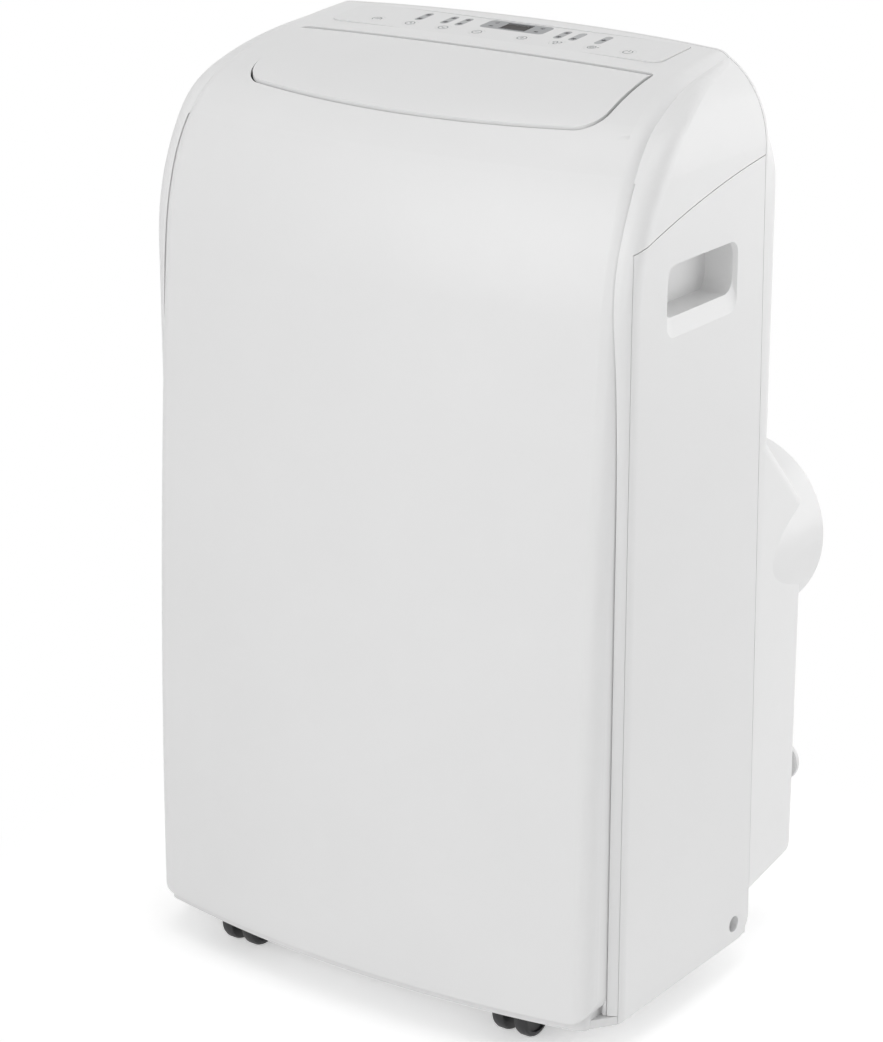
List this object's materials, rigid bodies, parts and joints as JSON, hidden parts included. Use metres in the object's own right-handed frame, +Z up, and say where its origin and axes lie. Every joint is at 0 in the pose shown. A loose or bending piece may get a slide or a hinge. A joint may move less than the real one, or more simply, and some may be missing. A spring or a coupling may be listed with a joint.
{
  "type": "portable air conditioner",
  "caption": "Upright portable air conditioner on swivel casters: bowed white casing, top control panel and tilting louver, side handle pockets, rear exhaust hood for a hose.",
  "frame": {"origin": "on the floor, under the middle of the overall box", "axes": "+Z up, front face towards -Y, right side (seen from the front) +X"},
  "size_m": [0.452, 0.3619, 0.7651],
  "materials": {
    "cabinet_white": "satin white moulding",
    "collar_white": "matt white moulding",
    "base_grey": "matt pale grey moulding",
    "panel_film": "satin printed film",
    "display_smoke": "smoked window",
    "indicator_grey": "grey window",
    "key_film": "satin film",
    "caster_white": "matt white moulding",
    "steel": "plated",
    "wheel_black": "black nylon",
    "rubber_dark": "matt rubber",
    "fin_aluminium": "plain fins",
    "copper_tube": "drawn copper tube",
    "motor_black": "black paint",
    "inner_plastic": "grey moulding",
    "board_green": "board",
    "box_steel": "sheet steel"
  },
  "bodies": {
    "cabinet": {"base_pan": "base_grey", "compressor": "motor_black", "compressor_mounts": "rubber_dark", "condenser_coil": "fin_aluminium", "condenser_motor": "motor_black", "condenser_scroll": "inner_plastic", "control_box": "box_steel", "control_panel": "panel_film", "cord_gland": "rubber_dark", "cord_hook": "cabinet_white", "display_board": "board_green", "display_window": "display_smoke", "drip_tray": "inner_plastic", "evaporator_coil": "fin_aluminium", "evaporator_motor": "motor_black", "evaporator_scroll": "inner_plastic", "exhaust_ring": "collar_white", "front_casing": "cabinet_white", "indicator_windows": "indicator_grey", "left_side_panel": "cabinet_white", "louver_motor": "inner_plastic", "outlet_duct": "inner_plastic", "outlet_vanes": "inner_plastic", "rear_cover": "cabinet_white", "rear_screws": "steel", "refrigerant_pipes": "copper_tube", "right_side_panel": "cabinet_white", "side_screws": "steel"},
    "louver": {"louver": "cabinet_white"},
    "filter_cover": {"upper_intake_grille": "cabinet_white", "air_filter": "inner_plastic"},
    "upper_drain_cap": {"upper_drain_cap": "rubber_dark"},
    "lower_drain_cap": {"lower_drain_cap": "rubber_dark"},
    "key_1": {"key_1": "key_film"},
    "key_2": {"key_2": "key_film"},
    "key_3": {"key_3": "key_film"},
    "key_4": {"key_4": "key_film"},
    "key_5": {"key_5": "key_film"},
    "key_6": {"key_6": "key_film"},
    "key_7": {"key_7": "key_film"},
    "key_8": {"key_8": "key_film"},
    "caster_front_left": {"caster_hood_front_left": "caster_white", "caster_axle_front_left": "steel"},
    "wheels_front_left": {"caster_wheels_front_left": "wheel_black"},
    "caster_front_right": {"caster_hood_front_right": "caster_white", "caster_axle_front_right": "steel"},
    "wheels_front_right": {"caster_wheels_front_right": "wheel_black"},
    "caster_rear_left": {"caster_hood_rear_left": "caster_white", "caster_axle_rear_left": "steel"},
    "wheels_rear_left": {"caster_wheels_rear_left": "wheel_black"},
    "caster_rear_right": {"caster_hood_rear_right": "caster_white", "caster_axle_rear_right": "steel"},
    "wheels_rear_right": {"caster_wheels_rear_right": "wheel_black"},
    "evaporator_fan": {"evaporator_fan": "inner_plastic"},
    "condenser_fan": {"condenser_fan": "inner_plastic"}
  },
  "joints": [
    {"name": "louver_tilt", "type": "hinge", "parent": "cabinet", "child": "louver", "pos_m": [0, -0.046, 0.73799], "axis": [-1, 0, 0], "range_deg": [0, 60]},
    {"name": "filter_cover_pull", "type": "slide", "parent": "cabinet", "child": "filter_cover", "axis": [0, 1, 0], "range_m": [0, 0.08]},
    {"name": "upper_drain_cap_pull", "type": "slide", "parent": "cabinet", "child": "upper_drain_cap", "axis": [0, 1, 0], "range_m": [0, 0.03]},
    {"name": "lower_drain_cap_pull", "type": "slide", "parent": "cabinet", "child": "lower_drain_cap", "axis": [0, 1, 0], "range_m": [0, 0.03]},
    {"name": "key_1_press", "type": "slide", "parent": "cabinet", "child": "key_1", "axis": [0, 0.0893, -0.996], "range_m": [0, 0.0005], "stiffness_N_per_m": 1500, "springref_m": -0.0005},
    {"name": "key_2_press", "type": "slide", "parent": "cabinet", "child": "key_2", "axis": [0, 0.0893, -0.996], "range_m": [0, 0.0005], "stiffness_N_per_m": 1500, "springref_m": -0.0005},
    {"name": "key_3_press", "type": "slide", "parent": "cabinet", "child": "key_3", "axis": [0, 0.0893, -0.996], "range_m": [0, 0.0005], "stiffness_N_per_m": 1500, "springref_m": -0.0005},
    {"name": "key_4_press", "type": "slide", "parent": "cabinet", "child": "key_4", "axis": [0, 0.0893, -0.996], "range_m": [0, 0.0005], "stiffness_N_per_m": 1500, "springref_m": -0.0005},
    {"name": "key_5_press", "type": "slide", "parent": "cabinet", "child": "key_5", "axis": [0, 0.0893, -0.996], "range_m": [0, 0.0005], "stiffness_N_per_m": 1500, "springref_m": -0.0005},
    {"name": "key_6_press", "type": "slide", "parent": "cabinet", "child": "key_6", "axis": [0, 0.0893, -0.996], "range_m": [0, 0.0005], "stiffness_N_per_m": 1500, "springref_m": -0.0005},
    {"name": "key_7_press", "type": "slide", "parent": "cabinet", "child": "key_7", "axis": [0, 0.0893, -0.996], "range_m": [0, 0.0005], "stiffness_N_per_m": 1500, "springref_m": -0.0005},
    {"name": "key_8_press", "type": "slide", "parent": "cabinet", "child": "key_8", "axis": [0, 0.0893, -0.996], "range_m": [0, 0.0005], "stiffness_N_per_m": 1500, "springref_m": -0.0005},
    {"name": "swivel_front_left", "type": "hinge", "parent": "cabinet", "child": "caster_front_left", "pos_m": [-0.138, -0.118, 0.048], "axis": [0, 0, 1], "continuous": true},
    {"name": "roll_front_left", "type": "hinge", "parent": "caster_front_left", "child": "wheels_front_left", "pos_m": [-0.138, -0.133, 0.02], "axis": [1, 0, 0], "continuous": true},
    {"name": "swivel_front_right", "type": "hinge", "parent": "cabinet", "child": "caster_front_right", "pos_m": [0.138, -0.118, 0.048], "axis": [0, 0, 1], "continuous": true},
    {"name": "roll_front_right", "type": "hinge", "parent": "caster_front_right", "child": "wheels_front_right", "pos_m": [0.138, -0.133, 0.02], "axis": [1, 0, 0], "continuous": true},
    {"name": "swivel_rear_left", "type": "hinge", "parent": "cabinet", "child": "caster_rear_left", "pos_m": [-0.138, 0.042, 0.048], "axis": [0, 0, 1], "continuous": true},
    {"name": "roll_rear_left", "type": "hinge", "parent": "caster_rear_left", "child": "wheels_rear_left", "pos_m": [-0.138, 0.027, 0.02], "axis": [1, 0, 0], "continuous": true},
    {"name": "swivel_rear_right", "type": "hinge", "parent": "cabinet", "child": "caster_rear_right", "pos_m": [0.138, 0.042, 0.048], "axis": [0, 0, 1], "continuous": true},
    {"name": "roll_rear_right", "type": "hinge", "parent": "caster_rear_right", "child": "wheels_rear_right", "pos_m": [0.138, 0.027, 0.02], "axis": [1, 0, 0], "continuous": true},
    {"name": "evaporator_fan_spin", "type": "hinge", "parent": "cabinet", "child": "evaporator_fan", "pos_m": [0, 0, 0.5355], "axis": [0, 1, 0], "continuous": true},
    {"name": "condenser_fan_spin", "type": "hinge", "parent": "cabinet", "child": "condenser_fan", "pos_m": [0.06, 0.08, 0.165], "axis": [0, 1, 0], "continuous": true}
  ]
}
